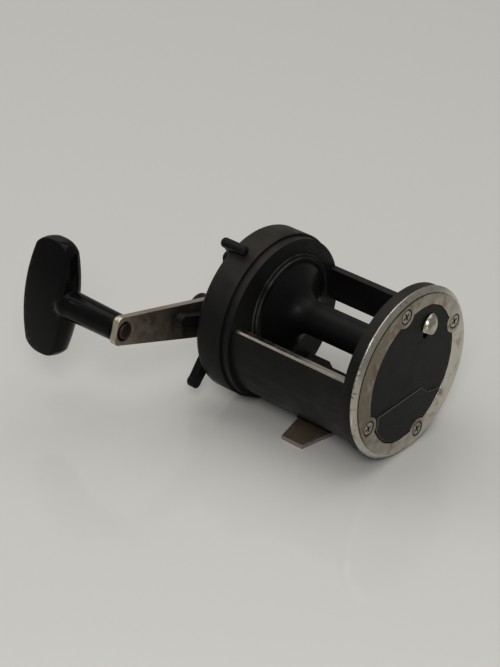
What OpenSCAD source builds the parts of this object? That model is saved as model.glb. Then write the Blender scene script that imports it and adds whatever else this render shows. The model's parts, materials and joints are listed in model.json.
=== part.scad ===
// Small star-drag trolling reel, in millimetres.
// +X runs along the spool axis to the left end plate, the handle is at -X.
// The front of the reel faces -Y, +Z is up, and the foot's underside is z = 0.

/* [Frame] */
// Radius of the bright end ring
ring_r = 39; // [37:0.5:43]
// Inside width between the two frame rings
frame_gap = 61.5; // [56:0.5:80]
// Thickness of the left frame ring
left_ring_t = 5.25; // [5:0.25:7]
// Thickness of the right frame ring
right_ring_t = 4; // [3:0.25:6]
// How far the left frame ring stays inside the bright ring
left_ring_step = 0.6; // [0.3:0.1:1.5]
// How far the right frame ring stays inside the gear housing
right_ring_step = 1.2; // [0.5:0.1:2]
// How far the front plate and the back bar stay inside the bright ring
rail_inset = 2.6; // [2.2:0.1:4]
// Thickness of the front plate and of the back bar
rail_t = 3.8; // [3:0.1:5]
// Height of the front plate's top edge, as an angle above the front
front_edge_angle = 15; // [8:1:22]
// Back edge of the cradle, as an angle below the front
cradle_angle = 122.5; // [112:0.5:130]
// Lower edge of the back bar, as an angle over the top from the front
bar_low_angle = 190; // [185:1:196]
// Upper edge of the back bar, as an angle over the top from the front
bar_high_angle = 161; // [154:1:168]
// How far the back bar's outside stays inside the front plate's
back_bar_inset = 1.3; // [0.5:0.1:1.8]

/* [Spool] */
// Height of the spool axis over the ring axis
spool_rise = 4; // [3:0.25:5]
// How far the spool axis lies behind the ring axis
spool_back = 2; // [1:0.25:3]
// Radius of the spool flanges
flange_r = 25; // [22:0.25:25.5]
// Radius of the spool arbor
arbor_r = 7.5; // [6.5:0.25:10]
// Thickness of the flange rim along the axis
flange_rim_t = 3.4; // [2.5:0.1:4]
// Radius of the spool shaft
shaft_r = 2; // [1.6:0.1:2.2]

/* [Left plate] */
// Thickness of the left plate inside the frame ring
left_plate_t = 3; // [2.5:0.25:3.5]
// Height of the bright ring over the frame
bright_ring_h = 2.4; // [2:0.1:3.5]
// Width of the bevel on the bright ring
bright_bevel = 2.1; // [1:0.1:2.6]
// Radius of the circle that the four ring screws stand on
ring_screw_pitch_r = 31.5; // [31:0.25:32]
// Half the angle between neighbouring ring screws
ring_screw_half_angle = 38.5; // [36:0.1:41]
// Direction of the click button, as an angle over the top from the front
click_angle = 118; // [112:1:126]
// Travel of the click button
click_travel = 4; // [3:0.25:4.5]

/* [Gear housing] */
// Radius of the gear housing
house_r = 38.4; // [37.5:0.1:39]
// How far the housing's axis lies ahead of the ring axis
house_ahead = 1.5; // [0:0.25:2]
// Depth of the gear housing
house_depth = 14; // [14:0.25:18]
// Wall of the gear housing
house_wall = 2; // [1.6:0.1:2]
// Rounding of the housing's outer edge
house_round = 2.5; // [1.5:0.25:4]
// Radius of the circle that the housing screws stand on
house_screw_pitch_r = 33; // [32.5:0.1:33.5]

/* [Gears] */
// Gear module
gear_module = 0.84; // [0.8:0.01:0.86]
// Teeth on the main gear
main_teeth = 33; // [30:1:34]
// Teeth on the pinion
pinion_teeth = 12; // [11:1:13]
// Travel of the pinion when the spool runs free
free_travel = 1.5; // [1.4:0.1:1.6]
// How far the handle axis lies below the spool axis
gear_drop = 7.5; // [5:0.25:9]

/* [Handle] */
// Distance from the handle axis to the knob axis
crank_l = 61; // [50:0.5:75]
// Angle of the arm above the front
crank_angle = 19; // [0:1:40]
// Thickness of the arm
arm_t = 3; // [2.5:0.1:4]
// Half the arm's width at the hub
arm_hub_r = 9.3; // [9:0.1:12]
// Half the arm's width at the knob
arm_end_r = 6.4; // [6:0.1:8]
// Reach of the star wheel's legs
star_r = 33; // [28:0.5:34]
// Half the width of a star leg at its end
star_leg_r = 2.7; // [2:0.1:3.5]
// Radius of the knob's stem at the arm
stem_r = 6; // [5.5:0.1:8]
// Radius of the knob's stem at the cross bar
stem_root_r = 6.6; // [6.1:0.1:8.5]
// Length of the knob's stem
stem_l = 30; // [22:0.5:36]
// Length of the knob's cross bar
bar_l = 52.8; // [48:0.5:70]
// Width of the knob's cross bar along the stem
bar_w = 25; // [20:0.5:30]
// Thickness of the knob's cross bar
bar_t = 12.5; // [12:0.25:17]
// Lean of the cross bar's top towards the back
bar_lean = 13; // [0:1:40]

/* [Foot] */
// Length of the foot from tip to tip
foot_l = 60; // [50:0.5:66]
// How far the foot's middle lies towards the handle
foot_shift = 2; // [0:0.5:4]
// Width of the foot at its middle
foot_w = 20; // [16:0.5:24]
// Width of the foot at its tips
foot_tip_w = 11.5; // [9:0.5:15]
// Thickness of the foot
foot_t = 2; // [1.6:0.1:2.6]

/* [Hidden] */
$fn = 96;
fit = 0.05;
seat = 0.15;
gap = 0.3;
flank_bite = 0.02;

graphite = "#26262a";
gloss_black = "#151517";
bright = "#b4ae9f";
steel = "#8f8c86";
brass = "#b08d4a";
fibre = "#5a4632";

// Axes of the reel, as [y, z]
ring_axis = [0, ring_r];
house_axis = [-house_ahead, house_r + 0.1];
spool_axis = ring_axis + [spool_back, spool_rise];
gear_centres = gear_module * (main_teeth + pinion_teeth) / 2;
gear_axis = spool_axis - [sqrt(gear_centres * gear_centres - gear_drop * gear_drop), gear_drop];

// Planes along the spool axis, from the left end to the handle
x_left_in = frame_gap / 2;
x_left_out = x_left_in + left_ring_t;
x_ring_face = x_left_out + bright_ring_h;
x_left_seat = x_left_out - left_plate_t;
x_boss = x_left_seat - 1.8;
x_click = x_boss - 0.3;
click_gear_t = 1.3;
x_hub_left = x_click - click_gear_t;
x_right_in = -frame_gap / 2;
x_right_out = x_right_in - right_ring_t;
x_house_out = x_right_out - house_depth;
x_house_in = x_house_out + house_wall;
bridge_t = 1.2;
x_bridge_in = x_right_out - 0.4;
x_bridge_out = x_bridge_in - bridge_t;
collar_t = 1.5;
neck_t = 1.4;
pinion_face = 2.8;
x_collar = x_bridge_out - 0.6;
x_neck = x_collar - collar_t;
x_teeth = x_neck - neck_t;
x_pinion_end = x_teeth - pinion_face;
main_face = 3.4;
x_gear_in = x_teeth - 0.2;
x_gear_out = x_gear_in - main_face;
ratchet_t = 1.3;
sleeve_flange_t = 0.9;
x_ratchet_out = x_gear_in + sleeve_flange_t;
x_ratchet_in = x_ratchet_out + ratchet_t;
x_sleeve_in = x_bridge_out - gap;
lever_t = 1.6;
lever_gap = 0.25;
x_lever_in = x_house_out - lever_gap;
x_lever_out = x_lever_in - lever_t;
star_t = 4.4;
x_star_in = x_lever_out - 0.6;
x_star_out = x_star_in - star_t;
handle_washer_t = 2;
x_arm_in = x_star_out - handle_washer_t;
x_arm_out = x_arm_in - arm_t;
nut_h = 9.2;
nut_dome_h = 1.2;
x_nut_out = x_arm_out - nut_h;
x_sleeve_end = x_nut_out + 1.4;
x_stack_out = x_gear_out - 0.2;
x_stem_in = x_arm_out - gap;
x_stem_out = x_stem_in - stem_l;
x_bar_mid = x_stem_out - bar_w / 2 + 2.2;

// Radii that mate
hole_r = flange_r + 0.4;
left_ring_r = ring_r - left_ring_step;
right_ring_r = house_r - right_ring_step;
rail_r = ring_r - rail_inset;
screw_r = 1.1;
screw_edge = 1;
plate_r = max(left_ring_r - 3.4, ring_screw_pitch_r + screw_r + fit + screw_edge);
cavity_r = house_r - house_wall;
post_inset = 9.4;
screw_head_r = 2.3;
ring_head_r = 2.8;
ring_head_inset = 0.15;
screw_head_t = 1;
ear_r = 5.2;
bearing_r = 5;
bearing_t = 1.8;
boss_r = bearing_r + 2;
collar_r = 4.6;
neck_r = 3.2;
post_r = 2.4;
sleeve_r = 4;
sleeve_flange_r = 6.5;
spacer_r = 5.4;
bushing_r = 7.6;
ratchet_r = 7.6;
drag_r = 9.6;
drag_recess = 2.2;
washer_t = (drag_recess + 0.2) / 4;
spindle_r = 3;
rivet_r = 3.4;
rivet_t = 1.2;
rivet_sink_r = 4.7;
rivet_sink_t = 0.6;
nut_r = 6.9;
lock_r = 2.6;
lock_t = 0.8;
foot_pad_w = foot_w - 1;
foot_pad_l = 30;
foot_rivet_r = 2;
foot_rivet_pitch = 16;
foot_rivet_head_r = 3.4;
foot_rivet_head_t = 1.4;
click_head_r = 4.4;
click_head_l = 9;
click_head_sunk = 1.2;
click_nose_r = 7;
click_post_r = 1.6;
click_gear_r = 5.2;
click_reach = 21.8;
window_raise = 0.6;
post_guide_r = 1.4;
drive_pin_r = 0.6;
guide_offset = 11;
tongue_t = 1;
tongue_root_r = 2.4;
lever_shaft_r = 2.5;
lever_swing = 38;
tab_r = 2.3;
tab_end = 1.9;
cam_mid_r = 6;
toe_r = 1.5;
dog_pivot_r = 1.5;
wire = 0.3;

// The ring screws go deep into the frame only where they pass outside the spool's hole
screws_clear_spool = ring_screw_pitch_r - screw_r - seat > norm(spool_axis - ring_axis) + hole_r;
x_ring_screw_tip = screws_clear_spool ? x_left_in + 0.8 : x_left_seat - 0.2;

click_dir = polar(1, click_angle);
click_pos = click_reach * click_dir;
to_spool = ring_axis + click_pos - spool_axis;
click_slide = to_spool / norm(to_spool);
knob_axis = gear_axis + polar(crank_l, crank_angle);
lever_axis = house_axis + polar(25, 80);
lever_tab = house_axis + polar(house_r + tab_r + 0.4, 67.5);
dog_axis = gear_axis + polar(13.5, 290);
toe_dir = (guide_pos(1) - lever_axis) / norm(guide_pos(1) - lever_axis);

// A point at radius r, at an angle that starts at the front and goes up over the top
function polar(r, a) = [-r * cos(a), r * sin(a)];

// Sketches in the end view, drawn from plane x0 towards the handle or the left end
module along_x(axis, x0) {
    translate([x0, axis[0], axis[1]])
        rotate([90, 0, 90])
            children();
}

module disc(axis, r, x0, x1) {
    along_x(axis, x0) cylinder(r = r, h = x1 - x0);
}

module prism(axis, x0, x1) {
    along_x(axis, x0) linear_extrude(x1 - x0) children();
}

// A disc whose edge is rounded on the side away from its seat, drawn along +Z
module rounded_disc(r, h, e) {
    rotate_extrude() {
        square([r - e, h]);
        square([r, h - e]);
        translate([r - e, h - e])
            intersection() {
                circle(e);
                square(e);
            }
    }
}

module sector(r_out, r_in, a0, a1) {
    steps = 8;
    intersection() {
        difference() {
            circle(r_out);
            circle(r_in);
        }
        polygon(concat([[0, 0]], [for (k = [0:steps]) polar(3 * r_out, a0 + (a1 - a0) * k / steps)]));
    }
}

// A flat link from plane x0 to x1: two round ends and the straight flanks between them
module link(p0, r0, p1, r1, x0, x1) {
    d = p1 - p0;
    turn = atan2(d[1], d[0]);
    lean = acos((r0 - r1) / norm(d));
    f0 = r0 - flank_bite;
    f1 = r1 - flank_bite;
    union() {
        disc(p0, r0, x0, x1);
        disc(p1, r1, x0, x1);
        prism([0, 0], x0, x1)
            polygon([
                p0 + f0 * [cos(turn + lean), sin(turn + lean)],
                p1 + f1 * [cos(turn + lean), sin(turn + lean)],
                p1 + f1 * [cos(turn - lean), sin(turn - lean)],
                p0 + f0 * [cos(turn - lean), sin(turn - lean)]
            ]);
    }
}

// Involute gear outline with backlash, tooth 0 centred at angle a
function involute(rb, t) = rb * [cos(t) + t * PI / 180 * sin(t), sin(t) - t * PI / 180 * cos(t)];
function involute_angle(rb, r) = sqrt(max(0, r * r / (rb * rb) - 1)) * 180 / PI;
function turned(p, a) = [p[0] * cos(a) - p[1] * sin(a), p[0] * sin(a) + p[1] * cos(a)];
function mirrored(p) = [p[0], -p[1]];

module gear_outline(teeth, a) {
    rp = gear_module * teeth / 2;
    rb = rp * cos(20);
    ra = rp + 0.8 * gear_module;
    rf = rp - 1.15 * gear_module;
    tp = involute_angle(rb, rp);
    pitch_lean = atan2(involute(rb, tp)[1], involute(rb, tp)[0]);
    half_tooth = 360 / teeth / 4 * 0.76 + pitch_lean;
    tip_t = involute_angle(rb, ra);
    foot_t0 = involute_angle(rb, max(rb, rf));
    steps = 4;
    flank = [for (k = [0:steps]) turned(involute(rb, foot_t0 + (tip_t - foot_t0) * k / steps), -half_tooth)];
    root = turned([rf, 0], -0.8 * half_tooth);
    for (i = [0:teeth - 1])
        rotate(a + 360 * i / teeth)
            polygon(concat(
                [[0, 0], root],
                flank,
                [for (k = [steps:-1:0]) mirrored(flank[k])],
                [mirrored(root)]
            ));
    circle(rf);
}

// A round wire coil along +Z with closed ends
module coil(r, wire_r, turns, length) {
    sides = 6;
    per_turn = 10;
    n = turns * per_turn;
    ring = function (k)
        let (a = 360 * k / per_turn, c = [r * cos(a), r * sin(a), wire_r + (length - 2 * wire_r) * k / n])
        [for (s = [0:sides - 1]) let (b = 360 * s / sides)
            c + wire_r * [cos(b) * cos(a), cos(b) * sin(a), sin(b)]];
    points = [for (k = [0:n]) each ring(k)];
    walls = [for (k = [0:n - 1], s = [0:sides - 1]) let (t = (s + 1) % sides)
        each [
            [k * sides + s, (k + 1) * sides + s, (k + 1) * sides + t],
            [k * sides + s, (k + 1) * sides + t, k * sides + t]
        ]];
    caps = [for (s = [1:sides - 2]) each [[0, s, s + 1], [n * sides, n * sides + s + 1, n * sides + s]]];
    polyhedron(points, concat(walls, caps));
}

function ring_screws() = [for (e = [click_angle, click_angle + 180], s = [-1, 1])
    polar(ring_screw_pitch_r, e + s * ring_screw_half_angle)];
function house_screws() = [for (a = [45:90:315]) polar(house_screw_pitch_r, a)];
function bridge_posts() = [
    polar(house_r - post_inset, 120), polar(house_r - post_inset - 2, 190), polar(house_r - post_inset, 292)];

// The opening of the bright ring: a leaf with round ends and notches for the screw ears
module window_outline(inset) {
    across = click_angle - 90;
    half_w = 27.5;
    half_l = 32;
    shift = (half_l * half_l - half_w * half_w) / (2 * half_w);
    difference() {
        intersection() {
            translate(polar(shift, across)) circle(half_w + shift - inset);
            translate(polar(-shift, across)) circle(half_w + shift - inset);
            circle(half_l - 0.6 - inset);
        }
        for (p = ring_screws()) translate(p) circle(ear_r + inset);
    }
}

module screw(length, head_r) {
    cylinder(r = screw_r, h = length);
    translate([0, 0, length])
        difference() {
            cylinder(r = head_r, h = screw_head_t);
            for (a = [20, 110])
                rotate(a) translate([-0.7 * head_r, -0.4, screw_head_t - 0.55]) cube([1.4 * head_r, 0.8, 1]);
        }
}

module frame() {
    color(graphite)
    difference() {
        union() {
            along_x(ring_axis, x_left_in) rounded_disc(left_ring_r, left_ring_t, 0.6);
            along_x(house_axis, x_right_out) cylinder(r = right_ring_r, h = right_ring_t);
            prism(ring_axis, x_right_in, x_left_in) {
                sector(rail_r, rail_r - rail_t, -cradle_angle, front_edge_angle);
                sector(rail_r - back_bar_inset, rail_r - rail_t, bar_high_angle, bar_low_angle);
            }
            translate([-foot_shift - foot_pad_w / 2, -foot_pad_l / 2, foot_t])
                cube([foot_pad_w, foot_pad_l, ring_r - rail_r + rail_t / 2 + 3]);
        }
        disc(ring_axis, rail_r - rail_t, x_right_in, x_left_in);
        disc(spool_axis, hole_r, x_right_out - 1, x_left_out + 1);
        disc(ring_axis, plate_r + seat, x_left_seat, x_left_out + 1);
        for (p = ring_screws()) disc(ring_axis + p, screw_r + fit, x_ring_screw_tip - 0.2, x_left_out);
        for (p = house_screws()) disc(house_axis + p, screw_r + fit, x_right_out - 1, x_right_in - 0.8);
        cradle_corner_cut();
        for (s = [-1, 1])
            translate([-foot_shift, s * foot_rivet_pitch / 2, 0])
                cylinder(r = foot_rivet_r + fit, h = ring_r / 2);
    }
}

// The back edge of the cradle steps down towards the left ring
module cradle_corner_cut() {
    cut_start = x_right_in + 5.7;
    cut_end = x_right_in + 14.3;
    edge_y = rail_r * sin(cradle_angle - 90);
    step_y = edge_y - 3.8;
    linear_extrude(ring_r / 2)
        polygon([
            [cut_start, edge_y + 4],
            [cut_start, edge_y + 1],
            [cut_end, step_y],
            [x_left_in, step_y],
            [x_left_in, edge_y + 4]
        ]);
}

module rub_strip() {
    color(bright)
    intersection() {
        prism(ring_axis, x_right_in, x_left_in)
            difference() {
                circle(rail_r);
                circle(rail_r - rail_t);
            }
        along_x(ring_axis, x_right_in)
            rotate(180 - front_edge_angle)
                translate([rail_r - 2 * rail_t, -1.2, 0])
                    cube([3 * rail_t, 1.2, frame_gap]);
    }
}

module left_side_plate() {
    color(graphite)
    difference() {
        union() {
            disc(ring_axis, plate_r, x_left_seat, x_left_out);
            prism(ring_axis, x_left_out, x_ring_face - 0.2) window_outline(seat);
            prism(ring_axis, x_ring_face - 0.2, x_ring_face - 0.2 + window_raise)
                intersection() {
                    window_outline(seat + 0.8);
                    polygon([[-40, -10.4], [7, -10.4], [12, -15], [40, -22], [40, -40], [-40, -40]]);
                }
            disc(spool_axis, boss_r, x_boss, x_left_seat + 0.2);
        }
        disc(spool_axis, bearing_r + fit, x_boss - 1, x_boss + 0.2 + bearing_t);
        for (p = ring_screws()) disc(ring_axis + p, screw_r + fit, x_left_seat - 1, x_left_out + 1);
        link(
            ring_axis + click_pos, click_post_r + fit,
            ring_axis + click_pos - click_travel * click_slide, click_post_r + fit,
            x_left_seat - 1, x_ring_face + 1
        );
    }
}

module left_ring() {
    color(bright)
    difference() {
        along_x(ring_axis, x_left_out)
            rotate_extrude()
                polygon([
                    [0, 0],
                    [ring_r, 0],
                    [ring_r, 0.5],
                    [ring_r - bright_bevel, bright_ring_h - 0.1],
                    [ring_r - bright_bevel - 0.3, bright_ring_h - 0.25],
                    [ring_r - bright_bevel - 0.6, bright_ring_h],
                    [0, bright_ring_h]
                ]);
        prism(ring_axis, x_left_out - 1, x_ring_face + 1) window_outline(0);
        for (p = ring_screws()) {
            disc(ring_axis + p, screw_r + fit, x_left_out - 1, x_ring_face + 1);
            disc(
                ring_axis + p,
                ring_head_r + 0.4,
                x_ring_face - screw_head_t - ring_head_inset,
                x_ring_face + 1
            );
        }
    }
}

module left_plate_screws() {
    color(steel)
    for (p = ring_screws())
        along_x(ring_axis + p, x_ring_screw_tip)
            screw(x_ring_face - screw_head_t - ring_head_inset - x_ring_screw_tip, ring_head_r);
}

// Half of a bullet shape that lies on the plate with its nose outwards
module click_button() {
    seat_pos = ring_axis + click_pos;
    x_base = x_ring_face - 0.2 + gap;
    color(bright)
    union() {
        intersection() {
            translate([x_base - click_head_sunk, seat_pos[0], seat_pos[1]])
                rotate([-atan2(click_slide[0], click_slide[1]), 0, 0])
                    translate([0, 0, -click_head_l / 3])
                        rotate_extrude()
                            intersection() {
                                square([2 * click_head_r, click_head_l]);
                                translate([click_head_r - click_nose_r, click_head_l / 3])
                                    circle(click_nose_r);
                            }
            disc(seat_pos, 3 * click_head_r, x_base, x_base + 2 * click_head_r);
        }
        disc(seat_pos, click_post_r, x_click, x_base + 0.2);
    }
}

module click_tongue() {
    reach = norm(to_spool);
    tip_r = click_gear_r + gap + click_travel;
    tip = ring_axis + click_pos - (reach - tip_r) * click_slide;
    color(steel)
    link(ring_axis + click_pos, tongue_root_r, tip + 0.7 * click_slide, 0.7, x_click - tongue_t, x_click);
}

module click_spring() {
    color(steel)
    prism(ring_axis + click_pos, x_click, x_left_seat - 0.15)
        difference() {
            circle(2.3);
            circle(click_post_r);
        }
}

module click_gear() {
    teeth = 12;
    color(brass)
    prism(spool_axis, x_hub_left, x_click)
        difference() {
            union() {
                circle(click_gear_r - 1.2);
                for (i = [0:teeth - 1])
                    rotate(360 * i / teeth)
                        polygon([
                            [click_gear_r - 2, -1.2],
                            [click_gear_r, -0.3],
                            [click_gear_r, 0.3],
                            [click_gear_r - 2, 1.2]
                        ]);
            }
            circle(shaft_r);
        }
}

// Half of the spool from its middle to a flange, as radius against distance along the axis
module spool_half(hub_end, rim_out, dish_r) {
    rim_in = rim_out - flange_rim_t;
    web = 2;
    flare_r = 9;
    flare_turn = 59;
    steps = 8;
    flare = [
        for (k = [0:steps])
            let (a = flare_turn * k / steps)
                [arbor_r + flare_r * (1 - cos(a)), rim_in - 14 + flare_r * sin(a)]
    ];
    rotate_extrude()
        difference() {
            union() {
                square([arbor_r, hub_end]);
                polygon(concat(
                    [[0, 0], [arbor_r, 0]],
                    flare,
                    [
                        [dish_r, rim_in - 1],
                        [flange_r - 1.6, rim_in - 1],
                        [flange_r - 1.6, rim_in],
                        [flange_r, rim_in],
                        [flange_r, rim_out],
                        [0, rim_out]
                    ]
                ));
            }
            polygon([
                [arbor_r + 0.5, rim_out + 1],
                [arbor_r + 0.5, rim_in - 7 + web],
                [arbor_r + 3.6, rim_in - 7 + web],
                [dish_r, rim_in - 1 + web],
                [flange_r - 1.6, rim_in - 1 + web],
                [flange_r - 1.6, rim_out + 1]
            ]);
            translate([-1, hub_end]) square([arbor_r + 1.5, rim_out]);
        }
}

module spool() {
    rim_left = x_left_seat - 0.5;
    rim_right = -x_right_out - 1.2;
    dish_r = flange_r - 4;
    // On the left the dish opens far enough to stay clear of the click tongue
    dish_foot_r = arbor_r + 3.6;
    dish_floor = rim_left - flange_rim_t - 5;
    tongue_low = x_click - tongue_t - gap;
    tongue_end_r = norm(to_spool) + tongue_root_r;
    clear_r = dish_foot_r + 6 * (tongue_end_r - dish_foot_r) / (tongue_low - dish_floor);
    color(graphite)
    difference() {
        union() {
            along_x(spool_axis, 0) spool_half(x_hub_left, rim_left, max(dish_r, clear_r));
            along_x(spool_axis, 0) mirror([0, 0, 1]) spool_half(-x_right_out - 0.6, rim_right, dish_r);
        }
        disc(spool_axis, shaft_r, x_right_out - 5, x_left_out);
    }
}

module spool_shaft() {
    color(steel)
    difference() {
        disc(spool_axis, shaft_r, x_house_in + 0.3, x_boss + bearing_t);
        drive_pin_cut(fit);
    }
}

module drive_pin_cut(extra) {
    translate([x_collar - 0.7, spool_axis[0], spool_axis[1]])
        cylinder(r = drive_pin_r + extra, h = 7, center = true);
}

module drive_pin() {
    color(steel) drive_pin_cut(0);
}

module bearing(axis, x0) {
    prism(axis, x0, x0 + bearing_t)
        difference() {
            circle(bearing_r);
            circle(shaft_r + fit);
        }
}

module left_bearing() {
    color(steel) bearing(spool_axis, x_boss + 0.2);
}

module right_bearing() {
    color(steel) bearing(spool_axis, x_house_in);
}

module right_side_plate() {
    color(graphite)
    difference() {
        union() {
            difference() {
                along_x(house_axis, x_right_out)
                    mirror([0, 0, 1])
                        rounded_disc(house_r, house_depth, house_round);
                disc(house_axis, cavity_r, x_house_in, x_right_out + 1);
            }
            disc(spool_axis, boss_r, x_house_in - 0.5, x_house_in + bearing_t);
            disc(gear_axis, bushing_r + 1.6, x_house_in - 0.5, x_house_in + 0.6);
            intersection() {
                for (p = house_screws()) disc(house_axis + p, 3.2, x_house_in - 0.5, x_right_out);
                disc(house_axis, cavity_r + 0.5, x_house_in - 1, x_right_out);
            }
            for (p = bridge_posts()) disc(house_axis + p, 3, x_house_in - 0.5, x_bridge_out);
        }
        disc(spool_axis, bearing_r + fit, x_house_in, x_house_in + bearing_t + 1);
        disc(gear_axis, bushing_r + fit, x_house_out - 1, x_house_in + 2);
        disc(lever_axis, lever_shaft_r + fit, x_house_out - 1, x_house_in + 1);
        for (p = house_screws()) {
            disc(house_axis + p, screw_r + fit, x_house_out - 1, x_right_out + 1);
            disc(house_axis + p, screw_head_r + seat, x_house_out - 1, x_house_out + screw_head_t);
        }
        for (p = bridge_posts()) disc(house_axis + p, screw_r + fit, x_bridge_out - 6, x_bridge_out + 1);
    }
}

module right_plate_screws() {
    length = x_right_in - 1 - x_house_out - screw_head_t;
    color(steel)
    for (p = house_screws())
        along_x(house_axis + p, x_right_in - 1) mirror([0, 0, 1]) screw(length, screw_head_r);
}

module sleeve_bushing() {
    color(brass)
    prism(gear_axis, x_house_out, x_house_in + 0.6)
        difference() {
            circle(bushing_r);
            circle(spacer_r + fit);
        }
}

module bridge_plate() {
    color(brass)
    difference() {
        union() {
            for (p = bridge_posts()) {
                link(gear_axis, 9, house_axis + p, 3.4, x_bridge_out, x_bridge_in);
                link(spool_axis, 8, house_axis + p, 3.4, x_bridge_out, x_bridge_in);
            }
            link(gear_axis, 9, spool_axis, 8, x_bridge_out, x_bridge_in);
            link(gear_axis, 8, dog_axis, 3, x_bridge_out, x_bridge_in);
            for (s = [-1, 1]) link(spool_axis, 6, guide_pos(s), 2.6, x_bridge_out, x_bridge_in);
            disc(gear_axis, post_r, x_arm_out, x_bridge_in);
            for (s = [-1, 1]) disc(guide_pos(s), post_guide_r, x_house_in + 0.8, x_bridge_in);
            disc(dog_axis, dog_pivot_r, x_ratchet_out - 0.4, x_bridge_in);
        }
        disc(spool_axis, shaft_r + 2, x_bridge_out - 1, x_bridge_in + 1);
        for (p = bridge_posts()) disc(house_axis + p, screw_r + fit, x_bridge_out - 1, x_bridge_in + 1);
    }
}
function guide_pos(s) = spool_axis + guide_offset * [sin(20), s * cos(20)];

module bridge_screws() {
    color(steel)
    for (p = bridge_posts())
        along_x(house_axis + p, x_bridge_out - 5.5)
            cylinder(r = screw_r, h = 5.5 + bridge_t);
}

module main_gear() {
    color(brass)
    difference() {
        prism(gear_axis, x_gear_out, x_gear_in)
            difference() {
                gear_outline(main_teeth, gear_mesh_angle());
                circle(sleeve_r);
            }
        disc(gear_axis, drag_r + 0.4, x_gear_out - 1, x_gear_out + drag_recess);
    }
}

// Angle of the line from the main gear to the pinion
function gear_mesh_angle() = atan2(spool_axis[1] - gear_axis[1], spool_axis[0] - gear_axis[0]);

module pinion() {
    color(brass)
    difference() {
        union() {
            prism(spool_axis, x_pinion_end, x_teeth)
                gear_outline(pinion_teeth, gear_mesh_angle() + 180 + 180 / pinion_teeth);
            disc(spool_axis, neck_r, x_teeth, x_neck);
            disc(spool_axis, collar_r, x_neck, x_collar);
        }
        disc(spool_axis, shaft_r + fit, x_pinion_end - 1, x_collar + 1);
        translate([x_collar - 1.4, spool_axis[0] - 0.9, spool_axis[1] - collar_r - 1])
            cube([3, 1.8, 2 * collar_r + 2]);
    }
}

module pinion_yoke() {
    x0 = x_teeth + 0.25;
    x1 = x0 + neck_t - 0.5;
    throat = neck_r + gap;
    color(steel)
    difference() {
        union() {
            for (s = [-1, 1]) link(spool_axis, 5.6, guide_pos(s), 3, x0, x1);
            link(guide_pos(1), 2.9, lever_axis + cam_mid_r * toe_dir, toe_r, x0, x1);
        }
        disc(spool_axis, throat, x0 - 1, x1 + 1);
        for (s = [-1, 1]) disc(guide_pos(s), post_guide_r + fit, x0 - 1, x1 + 1);
        // The fork opens towards the main gear and stays clear of its teeth
        disc(gear_axis, gear_module * (main_teeth / 2 + 1) + 0.4, x0 - 1, x1 + 1);
    }
}

module yoke_springs() {
    color(steel)
    for (s = [-1, 1])
        along_x(guide_pos(s), x_teeth + 0.25) mirror([0, 0, 1]) coil(2.1, wire, 4, 4.6);
}

// The lever's cam has rising steps that push the yoke's toe away from the spool
module free_spool_lever() {
    tab_l = 14;
    steps = 6;
    x_floor = x_teeth + 0.25 + neck_t - 0.5 + gap;
    toe_angle = atan2(toe_dir[1], -toe_dir[0]);
    lead = 2 + atan(toe_r / cam_mid_r);
    color(graphite)
    union() {
        link(lever_axis, 5, lever_tab, tab_r - 0.4, x_lever_out, x_lever_in);
        along_x(lever_tab, x_lever_out) rounded_disc(tab_r, tab_l - tab_end, tab_end);
        along_x(lever_tab, x_lever_out + 0.2) mirror([0, 0, 1]) rounded_disc(tab_r, tab_end + 0.2, tab_end);
        disc(lever_axis, lever_shaft_r, x_lever_in - 0.2, x_floor + 0.2);
        disc(lever_axis, cam_mid_r + toe_r, x_floor, x_bridge_out - gap);
        for (k = [1:steps])
            prism(lever_axis, x_floor - free_travel * k / steps, x_floor + 0.2)
                sector(
                    cam_mid_r + toe_r,
                    cam_mid_r - toe_r,
                    toe_angle - lead - lever_swing - 24,
                    toe_angle - lead - lever_swing * k / steps
                );
    }
}

module gear_sleeve() {
    color(steel)
    difference() {
        union() {
            disc(gear_axis, sleeve_r, x_sleeve_end, x_sleeve_in);
            disc(gear_axis, sleeve_flange_r, x_gear_in, x_ratchet_out);
        }
        disc(gear_axis, post_r + fit, x_arm_out - 0.4, x_sleeve_in + 1);
        disc(gear_axis, screw_r, x_sleeve_end - 2, x_arm_out);
    }
}

module anti_reverse_ratchet() {
    teeth = 10;
    root = ratchet_r - 1.4;
    color(steel)
    prism(gear_axis, x_ratchet_out, x_ratchet_in)
        difference() {
            union() {
                circle(root);
                for (i = [0:teeth - 1])
                    rotate(360 * i / teeth)
                        polygon([[root - 1, -2.6], [ratchet_r, 0], [root - 1, 0.5]]);
            }
            circle(sleeve_r);
        }
}

module anti_reverse_dog() {
    toe = gear_axis + polar(ratchet_r + gap + 0.8, 318);
    color(steel)
    difference() {
        link(dog_axis, 3, toe, 0.8, x_ratchet_out + 0.1, x_ratchet_in - 0.1);
        disc(dog_axis, dog_pivot_r + fit, x_ratchet_out - 1, x_ratchet_in + 1);
    }
}

module dog_spring() {
    color(steel)
    along_x(dog_axis, x_ratchet_in + 0.1)
        difference() {
            cylinder(r = 2.4, h = x_bridge_out - x_ratchet_in - 0.2);
            translate([0, 0, -1]) cylinder(r = dog_pivot_r + fit, h = 9);
        }
}

module drag_washer(i) {
    x1 = x_gear_out + drag_recess - i * washer_t;
    prism(gear_axis, x1 - washer_t, x1)
        difference() {
            circle(drag_r);
            circle(sleeve_r);
        }
}

module drag_fibre_washers() {
    color(fibre) for (i = [0, 2]) drag_washer(i);
}

module drag_metal_washers() {
    color(steel) for (i = [1, 3]) drag_washer(i);
}
module drag_spring_washer() {
    h = 1.1;
    t = 0.7;
    color(steel)
    along_x(gear_axis, x_stack_out) mirror([0, 0, 1])
        rotate_extrude()
            polygon([[sleeve_r, h - t], [drag_r - 1, 0], [drag_r - 1, t], [sleeve_r, h]]);
}

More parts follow.
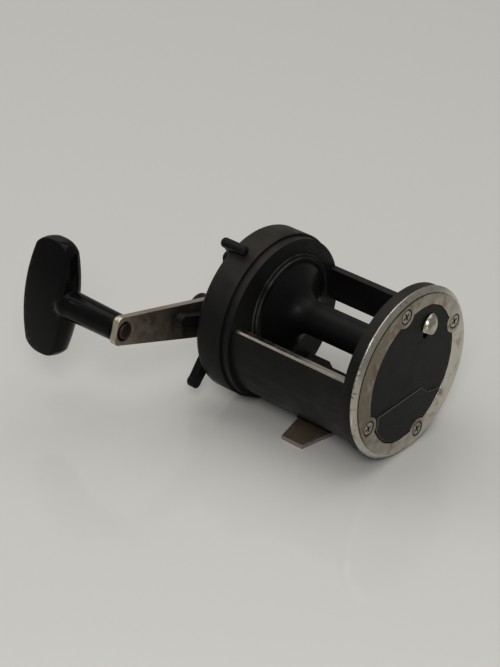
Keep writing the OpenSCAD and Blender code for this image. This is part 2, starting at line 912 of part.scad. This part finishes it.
module drag_spacer() {
    color(brass)
    prism(gear_axis, x_star_in, x_stack_out - 1.1)
        difference() {
            circle(spacer_r);
            circle(sleeve_r);
        }
}

module star_drag() {
    hub_r = 9;
    legs = 5;
    leg_root_r = 4.6;
    color(graphite)
    difference() {
        union() {
            along_x(gear_axis, x_star_in) mirror([0, 0, 1]) rounded_disc(hub_r, star_t, 1.2);
            for (i = [0:legs - 1]) {
                end = gear_axis + polar(star_r - star_leg_r, -47.2 + 360 * i / legs);
                link(gear_axis, leg_root_r, end, star_leg_r - 0.3, x_star_out + 0.6, x_star_in);
                along_x(end, x_star_in) mirror([0, 0, 1]) rounded_disc(star_leg_r, star_t, 1);
            }
        }
        disc(gear_axis, sleeve_r, x_star_out - 1, x_star_in + 1);
    }
}

module handle_washer() {
    color(steel)
    prism(gear_axis, x_arm_in, x_star_out)
        difference() {
            circle(7.4);
            circle(sleeve_r);
        }
}

// A tapered strip: round at the hub, squared off with round corners past the knob's rivet
module handle_arm() {
    past_rivet = 5.3;
    corner_r = 3;
    along = polar(1, crank_angle);
    across = [along[1], -along[0]];
    taper = asin((arm_hub_r - arm_end_r) / crank_l);
    corner = crank_l + past_rivet - corner_r;
    corner_w = arm_end_r - corner_r;
    hub_f = arm_hub_r - flank_bite;
    corner_f = corner_r - flank_bite;
    flank = [
        [hub_f * sin(taper), hub_f * cos(taper)],
        [corner + corner_f * sin(taper), corner_w + corner_f * cos(taper)],
        [corner + corner_f, corner_w]
    ];
    outline = concat(
        [for (q = flank) gear_axis + q[0] * along + q[1] * across],
        [for (k = [2:-1:0]) gear_axis + flank[k][0] * along - flank[k][1] * across]
    );
    color(bright)
    difference() {
        union() {
            disc(gear_axis, arm_hub_r, x_arm_out, x_arm_in);
            for (side = [-1, 1])
                disc(gear_axis + corner * along + side * corner_w * across, corner_r, x_arm_out, x_arm_in);
            prism([0, 0], x_arm_out, x_arm_in) polygon(outline);
        }
        disc(gear_axis, sleeve_r, x_arm_out - 1, x_arm_in + 1);
        disc(knob_axis, spindle_r, x_arm_out - 1, x_arm_in + 1);
        along_x(knob_axis, x_arm_in - rivet_sink_t)
            cylinder(r1 = rivet_r + seat, r2 = 2 * rivet_sink_r - rivet_r - seat, h = 2 * rivet_sink_t);
    }
}

// A tall round cap nut with a low dome
module handle_nut() {
    dome_ball_r = 9.5;
    color(graphite)
    difference() {
        union() {
            along_x(gear_axis, x_arm_out) mirror([0, 0, 1]) rounded_disc(nut_r, nut_h, 1.2);
            along_x(gear_axis, x_nut_out)
                intersection() {
                    mirror([0, 0, 1]) cylinder(r = nut_r - 1.9, h = nut_dome_h);
                    translate([0, 0, dome_ball_r - nut_dome_h]) sphere(dome_ball_r, $fn = 240);
                }
        }
        disc(gear_axis, sleeve_r, x_sleeve_end, x_arm_out + 1);
        disc(gear_axis, lock_r + fit, x_nut_out - 9, x_sleeve_end + 0.1);
    }
}

module handle_lock_screw() {
    color(steel)
    difference() {
        union() {
            disc(gear_axis, lock_r, x_sleeve_end - lock_t, x_sleeve_end);
            disc(gear_axis, screw_r - fit, x_sleeve_end - 0.1, x_arm_out - 0.6);
        }
        along_x(gear_axis, x_sleeve_end - lock_t) translate([-3, -0.3, -0.4]) cube([6, 0.6, 0.8]);
    }
}

module knob_spindle() {
    color(steel) {
        disc(knob_axis, spindle_r, x_stem_out + 3, x_arm_in - rivet_sink_t);
        along_x(knob_axis, x_arm_in - rivet_sink_t) rounded_disc(rivet_r, rivet_t, 0.8);
    }
}

// The cross bar is a turned barrel, made flatter by two large ball-shaped faces
module knob() {
    end_round = 8;
    half_l = bar_l / 2;
    half_w = bar_w / 2;
    barrel_r = 95;
    cheek_r = 130;
    round_z = half_l - end_round;
    round_r = half_w - barrel_r + sqrt(pow(barrel_r - end_round, 2) - round_z * round_z) + 0.4;
    color(gloss_black)
    difference() {
        union() {
            along_x(knob_axis, x_stem_out - 1)
                cylinder(r1 = stem_root_r, r2 = stem_r, h = x_stem_in - x_stem_out + 1);
            along_x(knob_axis, x_stem_out + 0.5) sphere(r = stem_root_r + 0.3);
            translate([x_bar_mid, knob_axis[0], knob_axis[1]]) rotate([-bar_lean, 0, 0])
                intersection() {
                    rotate_extrude()
                        intersection() {
                            union() {
                                translate([0, -round_z]) square([half_w, 2 * round_z]);
                                translate([0, -half_l]) square([round_r, bar_l]);
                                for (s = [-1, 1])
                                    translate([round_r, s * round_z]) circle(end_round);
                            }
                            translate([half_w - barrel_r, 0]) circle(barrel_r);
                            translate([0, -half_l]) square([half_w, bar_l]);
                        }
                    translate([0, bar_t / 2 - cheek_r, 0]) sphere(r = cheek_r, $fn = 480);
                    translate([0, cheek_r - bar_t / 2, 0]) sphere(r = cheek_r, $fn = 480);
                }
        }
        disc(knob_axis, spindle_r + fit, x_stem_out + 2.6, x_stem_in + 1);
    }
}

module foot() {
    neck_l = 22;
    color(steel)
    translate([-foot_shift, 0, 0])
    difference() {
        linear_extrude(foot_t)
            polygon([
                [-foot_tip_w / 2, -foot_l / 2],
                [foot_tip_w / 2, -foot_l / 2],
                [foot_w / 2, -neck_l / 2],
                [foot_w / 2, neck_l / 2],
                [foot_tip_w / 2, foot_l / 2],
                [-foot_tip_w / 2, foot_l / 2],
                [-foot_w / 2, neck_l / 2],
                [-foot_w / 2, -neck_l / 2]
            ]);
        for (s = [-1, 1])
            translate([0, s * foot_rivet_pitch / 2, -1]) {
                cylinder(r = foot_rivet_r + fit, h = foot_t + 2);
                cylinder(r1 = foot_rivet_head_r + 1, r2 = foot_rivet_r + fit, h = foot_rivet_head_t + 1);
            }
    }
}

module foot_rivets() {
    top = ring_r - sqrt(pow(rail_r - rail_t, 2) - pow(foot_rivet_pitch / 2 - foot_rivet_head_r, 2));
    color(steel)
    for (s = [-1, 1])
        translate([-foot_shift, s * foot_rivet_pitch / 2, 0]) {
            cylinder(r = foot_rivet_r, h = top);
            cylinder(r1 = foot_rivet_head_r - 0.2, r2 = foot_rivet_r, h = foot_rivet_head_t - 0.2);
        }
}

frame();
rub_strip();
left_side_plate();
left_ring();
left_plate_screws();
click_button();
click_tongue();
click_spring();
click_gear();
spool();
spool_shaft();
drive_pin();
left_bearing();
right_bearing();
right_side_plate();
right_plate_screws();
sleeve_bushing();
bridge_plate();
bridge_screws();
main_gear();
pinion();
pinion_yoke();
yoke_springs();
free_spool_lever();
gear_sleeve();
anti_reverse_ratchet();
anti_reverse_dog();
dog_spring();
drag_fibre_washers();
drag_metal_washers();
drag_spring_washer();
drag_spacer();
star_drag();
handle_washer();
handle_arm();
handle_nut();
handle_lock_screw();
knob_spindle();
knob();
foot();
foot_rivets();
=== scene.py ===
"""Looks of a small star-drag trolling reel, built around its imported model. Metres throughout."""

import json
import math

import bpy
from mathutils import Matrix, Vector


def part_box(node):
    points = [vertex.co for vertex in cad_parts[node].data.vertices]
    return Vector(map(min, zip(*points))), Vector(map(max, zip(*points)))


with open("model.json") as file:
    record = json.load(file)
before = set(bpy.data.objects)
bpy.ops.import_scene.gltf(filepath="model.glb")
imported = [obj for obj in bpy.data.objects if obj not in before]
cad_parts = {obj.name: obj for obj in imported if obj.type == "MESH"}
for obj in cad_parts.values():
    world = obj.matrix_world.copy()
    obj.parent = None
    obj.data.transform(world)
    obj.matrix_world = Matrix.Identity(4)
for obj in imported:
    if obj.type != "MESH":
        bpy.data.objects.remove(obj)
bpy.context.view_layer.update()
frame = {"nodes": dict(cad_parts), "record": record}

MM = 0.001

# Sizes on the pieces that the materials follow
SCREW_WELL_RADIUS = 3.2 * MM
SCREW_REACH = 7 * MM
RIVET_SINK_RADIUS = 4.4 * MM
RING_BEVEL = 2.4 * MM
FLANGE_LIP = 1.6 * MM

# Rounding of hard edges
WELD_GAP = 0.005 * MM
FLAT_ANGLE = math.radians(0.3)
EDGE_ANGLE = math.radians(38)
EDGE_SEGMENTS = 2
EDGE_WIDTHS_MM = {
    "frame": 0.4,
    "left_side_plate": 0.3,
    "left_ring": 0.1,
    "right_side_plate": 0.4,
    "star_drag": 0.4,
    "handle_arm": 0.35,
    "knob": 1.2,
    "foot": 0.25,
    "click_button": 0.2,
    "rub_strip": 0.15,
}

# Stage and light
FLOOR_HALF = 3.0
FLOOR_ROUGH = 0.09
FLOOR_IOR = 1.55
LIGHT_AIM = Vector((0, 0, 0.04))
ROOM_COLOUR = (0.55, 0.545, 0.52)
ROOM_STRENGTH = 0.52

# Camera of the photograph
IMAGE_LONG_SIDE_PX = 667
FOCAL_PX = 2000
SENSOR_MM = 36
CAMERA_AZIMUTH = math.radians(41.03)
CAMERA_ELEVATION = math.radians(32.67)
CAMERA_PLACE = Vector((444.8, -570.7, 506.5)) * MM
CAMERA_CLIP_START = 0.05

# Low gloss of the black surfaces, and bump depths of the bare metals
BLACK_IOR = 1.2
SCRATCH_DEPTH = 0.003 * MM
RING_SCRATCH_DEPTH = 0.0035 * MM

# Colours, linear
BLACK_PLASTIC = (0.0072, 0.0072, 0.0071)
WINDOW_BLACK = (0.0024, 0.0024, 0.0024)
PANEL_BLACK = (0.0062, 0.006, 0.0056)
# Painted highlight along the edge of the left plate's raised panel
PAINTED_EDGE_HIGHLIGHT = (0.1, 0.098, 0.09)
GLOSS_BLACK = (0.003, 0.003, 0.0031)
SPOOL_BLACK = (0.0062, 0.0062, 0.0063)
# Paler lines along the spool rim's edges
PALE_RIM_LINE = (0.075, 0.073, 0.07)
DUST = (0.032, 0.028, 0.0245)
NICKEL = (0.57, 0.545, 0.485)
# Tarnish, and the dark end of the painted shade on the ring
NICKEL_TARNISH_AND_SHADE = (0.19, 0.16, 0.118)
NICKEL_STAIN = (0.33, 0.28, 0.215)
# Dirt, and painted shade in the ring's crease and round its screws
DIRT_AND_SHADE = (0.016, 0.013, 0.01)
RUST = (0.15, 0.085, 0.05)
BRIGHT_METAL = (0.58, 0.545, 0.475)
ARM_METAL = (0.56, 0.495, 0.415)
ARM_STAIN = (0.34, 0.255, 0.195)
STEEL = (0.42, 0.4, 0.37)
SCREW_PLATE = (0.5, 0.46, 0.4)
DARK_STEEL = (0.06, 0.043, 0.033)
FOOT_STEEL = (0.56, 0.44, 0.35)
FOOT_STAIN = (0.34, 0.24, 0.18)
# Painted shade on the foot's side faces
FOOT_SIDE_SHADE = (0.36, 0.31, 0.295)
BRASS = (0.5, 0.34, 0.12)
FIBRE = (0.09, 0.06, 0.035)
FLOOR = (0.66, 0.658, 0.64)


# Measures on the pieces


def box_middle(box):
    """The middle of a box, seen along X."""
    low, high = box
    return [(low[k] + high[k]) / 2 for k in (1, 2)]


def box_radius(box):
    """The radius of a round piece that lies along X."""
    low, high = box
    return (high[2] - low[2]) / 2


def node_middle(name):
    """The middle of a node's box, seen along X."""
    return box_middle(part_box(name))


def solid_middles(name, reach):
    """The middles, seen along X, of a node's separate solids."""
    left = [v.co for v in frame["nodes"][name].data.vertices]
    found = []
    while left:
        first = left[0]
        near = [c for c in left if math.hypot(c.y - first.y, c.z - first.z) < reach]
        left = [c for c in left if math.hypot(c.y - first.y, c.z - first.z) >= reach]
        low_y, high_y = min(c.y for c in near), max(c.y for c in near)
        low_z, high_z = min(c.z for c in near), max(c.z for c in near)
        found.append(((low_y + high_y) / 2, (low_z + high_z) / 2))
    return found


# Building blocks of the materials


def node(tree, kind, **inputs):
    made = tree.nodes.new(kind)
    for name, value in inputs.items():
        made.inputs[name].default_value = value
    return made


def texture_space(tree, stretch=(1, 1, 1)):
    """Object coordinates in metres, stretched so that a pattern can run along one axis."""
    coords = tree.nodes.new("ShaderNodeTexCoord")
    mapping = node(tree, "ShaderNodeMapping", Scale=stretch)
    tree.links.new(coords.outputs["Object"], mapping.inputs["Vector"])
    return mapping.outputs["Vector"]


def noise(tree, vector, scale, detail, rough=0.55):
    made = node(tree, "ShaderNodeTexNoise", Scale=scale, Detail=detail, Roughness=rough)
    tree.links.new(vector, made.inputs["Vector"])
    return made.outputs["Fac"]


def spread(tree, value, low, high, start=0.35, end=0.65):
    """Maps a value from start..end onto low..high, and holds it there."""
    made = node(
        tree,
        "ShaderNodeMapRange",
        **{"From Min": start, "From Max": end, "To Min": low, "To Max": high},
    )
    tree.links.new(value, made.inputs["Value"])
    return made.outputs["Result"]


def put(tree, socket, value):
    """Sets a socket to a number or colour, or links it to another socket."""
    if isinstance(value, bpy.types.NodeSocket):
        tree.links.new(value, socket)
    elif isinstance(value, tuple):
        socket.default_value = (*value, 1)
    else:
        socket.default_value = value


def blend_colours(tree, factor, first, second):
    made = tree.nodes.new("ShaderNodeMix")
    made.data_type = "RGBA"
    put(tree, made.inputs["A"], first)
    put(tree, made.inputs["B"], second)
    put(tree, made.inputs["Factor"], factor)
    return made.outputs["Result"]


def combine(tree, operation, first, second, clamp=False):
    made = tree.nodes.new("ShaderNodeMath")
    made.operation = operation
    made.use_clamp = clamp
    put(tree, made.inputs[0], first)
    put(tree, made.inputs[1], second)
    return made.outputs[0]


def split(tree, vector):
    """The X, Y and Z of a vector."""
    parts = tree.nodes.new("ShaderNodeSeparateXYZ")
    tree.links.new(vector, parts.inputs[0])
    return parts.outputs["X"], parts.outputs["Y"], parts.outputs["Z"]


def from_line(tree, space, middle):
    """Y and Z from a line along X, and the distance from that line."""
    _, y, z = split(tree, space)
    y = combine(tree, "SUBTRACT", y, middle[0])
    z = combine(tree, "SUBTRACT", z, middle[1])
    square = combine(
        tree, "ADD", combine(tree, "MULTIPLY", y, y), combine(tree, "MULTIPLY", z, z)
    )
    return y, z, combine(tree, "SQRT", square, 0.0)


def band(tree, value, middle, half):
    """1 at the middle of a band, 0 outside it."""
    away = combine(tree, "ABSOLUTE", combine(tree, "SUBTRACT", value, middle), 0.0)
    return spread(tree, away, 1, 0, 0.4 * half, half)


def bump(tree, height, depth):
    made = node(tree, "ShaderNodeBump", Strength=1.0, Distance=depth)
    tree.links.new(height, made.inputs["Height"])
    return made.outputs["Normal"]


def upwards(tree):
    """The upward part of the direction that a face looks in: 1 straight up, 0 sideways."""
    facing = tree.nodes.new("ShaderNodeTexCoord")
    return split(tree, facing.outputs["Normal"])[2]


def new_material(name):
    made = bpy.data.materials.new(name)
    made.use_nodes = True
    return made, made.node_tree, made.node_tree.nodes["Principled BSDF"]


# Materials


def black_surface(tree, shader, space, rough, grain_mm, grain_depth_mm):
    """Low-gloss skin of moulded or painted pieces: uneven sheen and a fine grain."""
    shader.inputs["IOR"].default_value = BLACK_IOR
    smear = noise(tree, space, 140, 5)
    put(tree, shader.inputs["Roughness"], spread(tree, smear, rough - 0.06, rough + 0.08))
    grain = noise(tree, space, 1 / (grain_mm * MM), 2)
    put(tree, shader.inputs["Normal"], bump(tree, grain, grain_depth_mm * MM))


def plastic(name, colour, rough, grain_mm, grain_depth_mm, pale, dusty=False):
    """Moulded plastic, cloudy in colour; a dusty one has dust where it faces up."""
    made, tree, shader = new_material(name)
    space = texture_space(tree)
    cloud = spread(tree, noise(tree, space, 60, 4), 0, 1)
    skin = blend_colours(tree, cloud, colour, tuple(c + pale for c in colour))
    if dusty:
        on_top = spread(tree, upwards(tree), 0, 0.85, 0.45, 1.0)
        uneven = spread(tree, noise(tree, space, 90, 5, 0.6), 0.45, 1.0)
        skin = blend_colours(tree, combine(tree, "MULTIPLY", on_top, uneven), skin, DUST)
    put(tree, shader.inputs["Base Color"], skin)
    black_surface(tree, shader, space, rough, grain_mm, grain_depth_mm)
    return made


def plate_plastic(name, box, face_x):
    """The left plate: a dark window, with a paler raised panel and a painted highlight along its
    edge.
    """
    made, tree, shader = new_material(name)
    space = texture_space(tree)
    x = split(tree, space)[0]
    top_x = box[1][0]
    cloud = spread(tree, noise(tree, space, 60, 4), 0, 1)
    pale = tuple(1.3 * c for c in WINDOW_BLACK)
    window = blend_colours(tree, cloud, WINDOW_BLACK, pale)
    # Painted highlight: a pale line along the step of the raised panel
    step = spread(tree, x, 0, 1, face_x - 0.15 * MM, face_x - 0.05 * MM)
    window_with_edge_highlight = blend_colours(tree, step, window, PAINTED_EDGE_HIGHLIGHT)
    raised = spread(tree, x, 0, 1, top_x - 0.1 * MM, top_x - 0.02 * MM)
    put(tree, shader.inputs["Base Color"], blend_colours(tree, raised, window_with_edge_highlight, PANEL_BLACK))
    black_surface(tree, shader, space, 0.3, 0.3, 0.006)
    return made


def spool_paint(name, box):
    """Black spool with paler lines along the edges of its rim."""
    made, tree, shader = new_material(name)
    space = texture_space(tree)
    rim = box_radius(box)
    radius = from_line(tree, space, box_middle(box))[2]
    # Paler lines along the rim's outer edge and its lip
    outer_line = band(tree, radius, rim - 0.1 * MM, 0.35 * MM)
    inner_line = band(tree, radius, rim - FLANGE_LIP, 0.3 * MM)
    rim_lines = combine(tree, "MAXIMUM", outer_line, inner_line)
    pale_rim_mask = combine(tree, "MULTIPLY", rim_lines, spread(tree, noise(tree, space, 110, 4), 0.15, 0.9))
    put(tree, shader.inputs["Base Color"], blend_colours(tree, pale_rim_mask, SPOOL_BLACK, PALE_RIM_LINE))
    black_surface(tree, shader, space, 0.36, 0.5, 0.006)
    return made


def metal(
    name, colour, stain, rough, stretch=(1, 1, 1), patch_scale=75, bare=1.0, rivet=None, side_shade=None
):
    """Plated or rolled metal: stains, dirt round a rivet, painted shade on faces that don't look
    up, uneven gloss, scratches.
    """
    made, tree, shader = new_material(name)
    shader.inputs["Metallic"].default_value = bare
    space = texture_space(tree)
    patch = spread(tree, noise(tree, space, patch_scale, 4), 0, 0.7, 0.4, 0.72)
    skin = blend_colours(tree, patch, colour, stain)
    if rivet:
        away = from_line(tree, space, rivet)[2]
        grime_and_shade = spread(tree, away, 0.9, 0, RIVET_SINK_RADIUS, RIVET_SINK_RADIUS + 0.5 * MM)
        skin = blend_colours(tree, grime_and_shade, skin, DIRT_AND_SHADE)
    if side_shade:
        # Painted shade: faces that don't look up take the darker side colour
        skin = blend_colours(tree, spread(tree, upwards(tree), 0, 1, 0.3, 0.95), side_shade, skin)
    put(tree, shader.inputs["Base Color"], skin)
    smear = noise(tree, space, 260, 4)
    put(tree, shader.inputs["Roughness"], spread(tree, smear, rough - 0.05, rough + 0.06))
    scratched = noise(tree, texture_space(tree, stretch), 4000, 3)
    put(tree, shader.inputs["Normal"], bump(tree, scratched, SCRATCH_DEPTH))
    return made


def ring_shade_and_pits(tree, space, radius, outer, side, screws):
    """Painted shade in the ring's crease and painted shadow round its screws, and pits along its
    outer edge.
    """
    # Painted shade in the crease, strongest towards the top
    crease = band(tree, radius, outer - RING_BEVEL, 0.5 * MM)
    darkening = combine(tree, "MULTIPLY", crease, spread(tree, side, 0.0, 0.95, 0.45, 0.85))
    for screw in screws:
        away = from_line(tree, space, screw)[2]
        # Painted shadow round each screw's well
        grime_and_shade = spread(tree, away, 1, 0, SCREW_WELL_RADIUS, SCREW_WELL_RADIUS + 0.7 * MM)
        darkening = combine(tree, "MAXIMUM", darkening, grime_and_shade)
    uneven = spread(tree, noise(tree, space, 500, 3), 0.7, 1.0, 0.3, 0.6)
    darkening = combine(tree, "MULTIPLY", darkening, uneven)
    pits = spread(tree, noise(tree, space, 620, 3), 0, 1, 0.58, 0.68)
    near_edge = spread(tree, radius, 0, 1, outer - 2 * MM, outer - 0.6 * MM)
    upper_front = spread(tree, side, 0, 0.85, 0.55, 0.85)
    pitted = combine(tree, "MULTIPLY", pits, combine(tree, "MULTIPLY", near_edge, upper_front))
    return combine(tree, "MAXIMUM", darkening, pitted)


def ring_metal(name, box, screws):
    """Worn nickel: tarnished in patches, with painted shade darkening it towards the top and front,
    its bevel kept brighter as wear and as a painted highlight, and rusty towards its opening.
    """
    made, tree, shader = new_material(name)
    shader.inputs["Metallic"].default_value = 1.0
    space = texture_space(tree)
    outer = box_radius(box)
    y, z, radius = from_line(tree, space, box_middle(box))
    # Painted shade: darker towards the top and front of the ring, brighter towards the bottom
    side = spread(tree, combine(tree, "SUBTRACT", z, y), 0, 1, -1.1 * outer, 1.1 * outer)
    patch = spread(tree, noise(tree, space, 48, 5, 0.6), -0.35, 0.35, 0.3, 0.7)
    fleck = spread(tree, noise(tree, space, 320, 4, 0.6), -0.22, 0.22, 0.3, 0.7)
    # The bevel keeps little tarnish, partly as wear and partly as a painted highlight
    on_face = spread(tree, radius, 1, 0.25, outer - RING_BEVEL, outer - RING_BEVEL + 0.5 * MM)
    tarnish_and_shade = combine(tree, "ADD", combine(tree, "ADD", side, patch), fleck)
    tarnish_and_shade = combine(tree, "MULTIPLY", tarnish_and_shade, on_face, clamp=True)
    plated = blend_colours(tree, tarnish_and_shade, NICKEL, NICKEL_TARNISH_AND_SHADE)
    inwards = spread(tree, radius, 1, 0.1, outer - 7 * MM, outer - 3.2 * MM)
    rusty = spread(tree, noise(tree, space, 130, 5, 0.6), 0, 0.8, 0.5, 0.68)
    plated = blend_colours(tree, combine(tree, "MULTIPLY", rusty, inwards), plated, RUST)
    # The painted crease and screw shade, and the pits, darken the plating
    darkening = ring_shade_and_pits(tree, space, radius, outer, side, screws)
    put(tree, shader.inputs["Base Color"], blend_colours(tree, darkening, plated, DIRT_AND_SHADE))
    smear = noise(tree, space, 200, 5)
    put(tree, shader.inputs["Roughness"], spread(tree, smear, 0.15, 0.28))
    scratched = noise(tree, texture_space(tree, (1, 1, 0.12)), 2600, 3)
    put(tree, shader.inputs["Normal"], bump(tree, scratched, RING_SCRATCH_DEPTH))
    return made


def screw_metal(name, face_x):
    """Plated screw heads with dirt in their cross slots."""
    made, tree, shader = new_material(name)
    shader.inputs["Metallic"].default_value = 1.0
    space = texture_space(tree)
    x = split(tree, space)[0]
    patch = spread(tree, noise(tree, space, 300, 4), 0, 1, 0.35, 0.7)
    plated = blend_colours(tree, patch, SCREW_PLATE, NICKEL_TARNISH_AND_SHADE)
    sunk = spread(tree, x, 1, 0, face_x - 0.45 * MM, face_x - 0.25 * MM)
    put(tree, shader.inputs["Base Color"], blend_colours(tree, sunk, plated, DIRT_AND_SHADE))
    put(tree, shader.inputs["Roughness"], spread(tree, patch, 0.22, 0.36, 0, 1))
    turned = noise(tree, space, 2500, 3)
    put(tree, shader.inputs["Normal"], bump(tree, turned, SCRATCH_DEPTH))
    return made


looks = {
    "graphite": plastic("black_moulded", BLACK_PLASTIC, 0.46, 0.3, 0.012, 0.0016, dusty=True),
    "spool": spool_paint("black_spool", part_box("spool")),
    "lever": plastic("black_lever", SPOOL_BLACK, 0.36, 0.5, 0.006, 0.001),
    "knob": plastic("black_gloss", GLOSS_BLACK, 0.1, 1.2, 0.003, 0.0005),
    "ring": ring_metal(
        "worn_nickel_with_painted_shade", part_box("left_ring"), solid_middles("left_plate_screws", SCREW_REACH)
    ),
    "bright": metal("bright_plate", BRIGHT_METAL, NICKEL_STAIN, 0.24),
    "arm": metal(
        "arm_plate", ARM_METAL, ARM_STAIN, 0.36, (1, 0.1, 1), 30, rivet=node_middle("knob_spindle")
    ),
    "spindle": metal("dark_rivet", DARK_STEEL, DARK_STEEL, 0.42),
    "screw": metal("turned_steel", STEEL, NICKEL_STAIN, 0.3),
    "foot": metal(
        "foot_steel", FOOT_STEEL, FOOT_STAIN, 0.46, (1, 0.1, 1), 40, 0.91, side_shade=FOOT_SIDE_SHADE
    ),
    "brass": metal("machined_brass", BRASS, BRASS, 0.32),
    "fibre": plastic("drag_fibre", FIBRE, 0.8, 0.4, 0.03, 0.01),
}

slot_of = {s["node"]: s["material_slot"] for s in frame["record"]["subparts"]}
for name, piece in frame["nodes"].items():
    piece.data.materials.clear()
    piece.data.materials.append(looks[slot_of[name]])
ring_face_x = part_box("left_ring")[1][0]
frame["nodes"]["left_side_plate"].data.materials[0] = plate_plastic(
    "black_plate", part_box("left_side_plate"), ring_face_x
)
frame["nodes"]["left_plate_screws"].data.materials[0] = screw_metal("screw_heads", ring_face_x)
frame["nodes"]["click_button"].data.materials[0] = metal(
    "button_plate", BRIGHT_METAL, NICKEL_TARNISH_AND_SHADE, 0.22, patch_scale=330
)


# Rounded edges


def soften(name, width_mm):
    """Breaks a piece's hard edges with a small rounding, so that they catch the light."""
    modifiers = frame["nodes"][name].modifiers
    weld = modifiers.new("weld", "WELD")
    weld.merge_threshold = WELD_GAP
    flat = modifiers.new("flat", "DECIMATE")
    flat.decimate_type = "DISSOLVE"
    flat.angle_limit = FLAT_ANGLE
    rounding = modifiers.new("rounding", "BEVEL")
    rounding.width = width_mm * MM
    rounding.segments = EDGE_SEGMENTS
    rounding.limit_method = "ANGLE"
    rounding.angle_limit = EDGE_ANGLE
    rounding.use_clamp_overlap = True
    rounding.harden_normals = True


for name, width_mm in EDGE_WIDTHS_MM.items():
    soften(name, width_mm)


# Stage, light and camera

floor_mesh = bpy.data.meshes.new("floor")
floor_mesh.from_pydata(
    [(x * FLOOR_HALF, y * FLOOR_HALF, 0) for x, y in ((-1, -1), (1, -1), (1, 1), (-1, 1))],
    [],
    [(0, 1, 2, 3)],
)
floor = bpy.data.objects.new("floor", floor_mesh)
bpy.context.collection.objects.link(floor)
floor_look, _, floor_shader = new_material("pale_table")
floor_shader.inputs["Base Color"].default_value = (*FLOOR, 1)
floor_shader.inputs["Roughness"].default_value = FLOOR_ROUGH
floor_shader.inputs["IOR"].default_value = FLOOR_IOR
floor_mesh.materials.append(floor_look)

# The low lamp leaves the glossy floor out, or it would mirror there in views from behind
all_but_floor = bpy.data.collections.new("all_but_floor")
all_but_floor.objects.link(floor)
all_but_floor.collection_objects[0].light_linking.link_state = "EXCLUDE"


def area_light(name, place, size, power, colour):
    """A soft light that looks at the middle of the reel."""
    data = bpy.data.lights.new(name, "AREA")
    data.shape = "RECTANGLE"
    data.size, data.size_y = size
    data.energy = power
    data.color = colour
    lamp = bpy.data.objects.new(name, data)
    bpy.context.collection.objects.link(lamp)
    lamp.location = place
    lamp.rotation_euler = (LIGHT_AIM - Vector(place)).to_track_quat("-Z", "Y").to_euler()
    return lamp


area_light("key", (0.5, -0.66, 0.82), (0.3, 0.3), 3.2, (1, 0.98, 0.95))
area_light("ceiling", (-0.24, 0.28, 1.6), (1.9, 1.9), 13.2, (1, 0.98, 0.94))
low_front = area_light("low_front", (0.86, -0.9, 0.14), (0.12, 0.3), 0.4, (1, 0.99, 0.97))
low_front.light_linking.receiver_collection = all_but_floor
area_light("catch", (0.46, -0.6, 0.6), (0.06, 0.06), 0.3, (1, 0.99, 0.97))
area_light("side_fill", (-1.2, -0.4, 0.9), (0.9, 0.7), 2.5, (1, 0.97, 0.92))

world = bpy.data.worlds.new("room")
bpy.context.scene.world = world
world.use_nodes = True
backdrop = world.node_tree.nodes["Background"]
backdrop.inputs["Color"].default_value = (*ROOM_COLOUR, 1)
backdrop.inputs["Strength"].default_value = ROOM_STRENGTH

camera_data = bpy.data.cameras.new("photo_camera")
camera_data.sensor_width = SENSOR_MM
camera_data.lens = FOCAL_PX * SENSOR_MM / IMAGE_LONG_SIDE_PX
camera_data.clip_start = CAMERA_CLIP_START
camera = bpy.data.objects.new("photo_camera", camera_data)
bpy.context.collection.objects.link(camera)
camera.location = CAMERA_PLACE
back = Vector(
    (
        math.sin(CAMERA_AZIMUTH) * math.cos(CAMERA_ELEVATION),
        -math.cos(CAMERA_AZIMUTH) * math.cos(CAMERA_ELEVATION),
        math.sin(CAMERA_ELEVATION),
    )
)
camera.rotation_euler = (-back).to_track_quat("-Z", "Y").to_euler()
bpy.context.scene.camera = camera
bpy.context.scene.view_settings.view_transform = "Standard"
